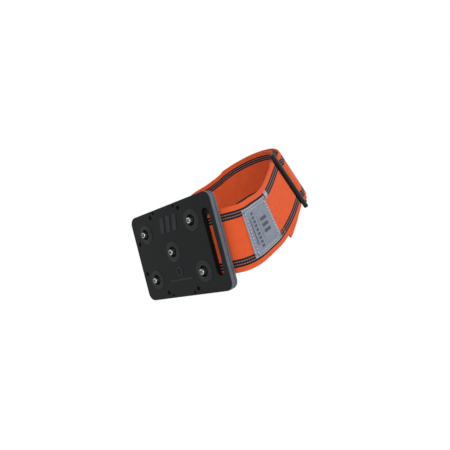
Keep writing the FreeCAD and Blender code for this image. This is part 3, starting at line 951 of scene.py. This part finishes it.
# ---------------------------------------------------------------- camera, light and floor

AZIMUTH = 92.44
ELEVATION = -47.96
ROLL = 76.99
DISTANCE = 0.240
AIM = V((0.04477, -0.00809, 0.00068))
LENS = 30.41
SENSOR = 36.0

# what the lights face, and each one's name, azimuth, elevation, distance, size, power and colour
LIT_AT = V((0, -0.01, 0.05))
LIGHTS = [
    ("front", 84, -36, 0.9, 0.7, 3.8, (1.0, 0.99, 0.98)),
    ("key", 60, 50, 1.0, 0.8, 3.0, (1.0, 1.0, 1.0)),
    ("back", 250, 35, 1.0, 0.8, 3.0, (1.0, 1.0, 1.0)),
]

# the floor's size, its gap below the studs, and the distances that it fades over
FLOOR_SIZE = 2.4
FLOOR_GAP = 0.0001
FLOOR_FADE = (0.22, 1.0)


def toward(azimuth, elevation):
    """The direction from the object to a place round it, where azimuth 0 is at -Y and 90 at +X."""
    a, e = math.radians(azimuth), math.radians(elevation)
    return V((math.sin(a) * math.cos(e), -math.cos(a) * math.cos(e), math.sin(e)))


def add_camera():
    back = toward(AZIMUTH, ELEVATION)
    data = bpy.data.cameras.new("camera")
    data.lens = LENS
    data.sensor_width = SENSOR
    data.clip_start = 0.01
    camera = bpy.data.objects.new("camera", data)
    camera.location = AIM + back * DISTANCE
    camera.rotation_mode = "QUATERNION"
    roll = Quaternion((0, 0, 1), math.radians(ROLL))
    camera.rotation_quaternion = (-back).to_track_quat("-Z", "Y") @ roll
    bpy.context.scene.collection.objects.link(camera)
    bpy.context.scene.camera = camera


def add_light(name, azimuth, elevation, distance, size, power, colour):
    """A soft square light that faces the object."""
    data = bpy.data.lights.new(name, "AREA")
    data.size = size
    data.energy = power
    data.color = colour
    light = bpy.data.objects.new(name, data)
    back = toward(azimuth, elevation)
    light.location = LIT_AT + back * distance
    light.rotation_mode = "QUATERNION"
    light.rotation_quaternion = (-back).to_track_quat("-Z", "Y")
    bpy.context.scene.collection.objects.link(light)


def add_world():
    """Soft white surroundings, which the camera sees as plain white."""
    world = bpy.data.worlds.new("studio")
    world.use_nodes = True
    tree = world.node_tree
    tree.nodes.clear()
    soft = tree.nodes.new("ShaderNodeBackground")
    soft.inputs["Color"].default_value = (0.96, 0.98, 1.0, 1.0)
    soft.inputs["Strength"].default_value = 0.62
    plain = tree.nodes.new("ShaderNodeBackground")
    plain.inputs["Color"].default_value = (1.0, 1.0, 1.0, 1.0)
    path = tree.nodes.new("ShaderNodeLightPath")
    mix = tree.nodes.new("ShaderNodeMixShader")
    out = tree.nodes.new("ShaderNodeOutputWorld")
    tree.links.new(path.outputs["Is Camera Ray"], mix.inputs[0])
    tree.links.new(soft.outputs[0], mix.inputs[1])
    tree.links.new(plain.outputs[0], mix.inputs[2])
    tree.links.new(mix.outputs[0], out.inputs[0])
    bpy.context.scene.world = world


def add_floor():
    """A pale floor under the studs, which fades into the white surroundings. It shows from above only,
    as the main camera looks up through it."""
    half = FLOOR_SIZE / 2
    mesh = bpy.data.meshes.new("floor")
    z = CAD_LOW.z - FLOOR_GAP
    corners = [(x, y, z) for x, y in ((-half, -half), (half, -half), (half, half), (-half, half))]
    mesh.from_pydata(corners, [], [(0, 1, 2, 3)])
    floor = bpy.data.objects.new("floor", mesh)
    bpy.context.scene.collection.objects.link(floor)
    n = Nodes("pale_floor")
    n.set(Base_Color=(0.80, 0.80, 0.79), Roughness=0.9, Specular_IOR_Level=0.1)
    clear = n.node("ShaderNodeBsdfTransparent")
    side = n.node("ShaderNodeNewGeometry")
    away = n.node("ShaderNodeVectorMath", Vector=n.place())
    away.operation = "LENGTH"
    faded = n.ramp(away.outputs["Value"], *FLOOR_FADE)
    mix = n.tree.nodes.new("ShaderNodeMixShader")
    n.put(mix.inputs[0], n.math("MAXIMUM", faded, side.outputs["Backfacing"]))
    n.put(mix.inputs[1], n.shader.outputs[0])
    n.put(mix.inputs[2], clear.outputs[0])
    n.put(n.tree.nodes["Material Output"].inputs["Surface"], mix.outputs[0])
    mesh.materials.append(n.material)
    floor.visible_shadow = False
    floor.visible_diffuse = False
    floor.visible_glossy = False


def build():
    add_camera()
    add_world()
    add_floor()
    for light in LIGHTS:
        add_light(*light)
    pale_thread = thread_material("grey_thread", (0.66, 0.68, 0.74), (0.42, 0.44, 0.50))
    orange_thread = thread_material("orange_thread", (0.86, 0.23, 0.10), (0.50, 0.06, 0.02))
    webbing_pieces(webbing_material())
    sewn_pieces(label_material(), pale_thread, orange_thread)
    loops = pile_material("loop_pile", (0.010, 0.010, 0.011), (0.05, 0.05, 0.054), 1.8, 0.0002)
    hooks = pile_material("hook_pile", (0.010, 0.010, 0.011), (0.04, 0.04, 0.042), 1.2, 0.00015)
    closure_pieces(loops, hooks, orange_thread)
    paint_cad_parts()
    bpy.context.scene.view_settings.view_transform = "Standard"


build()
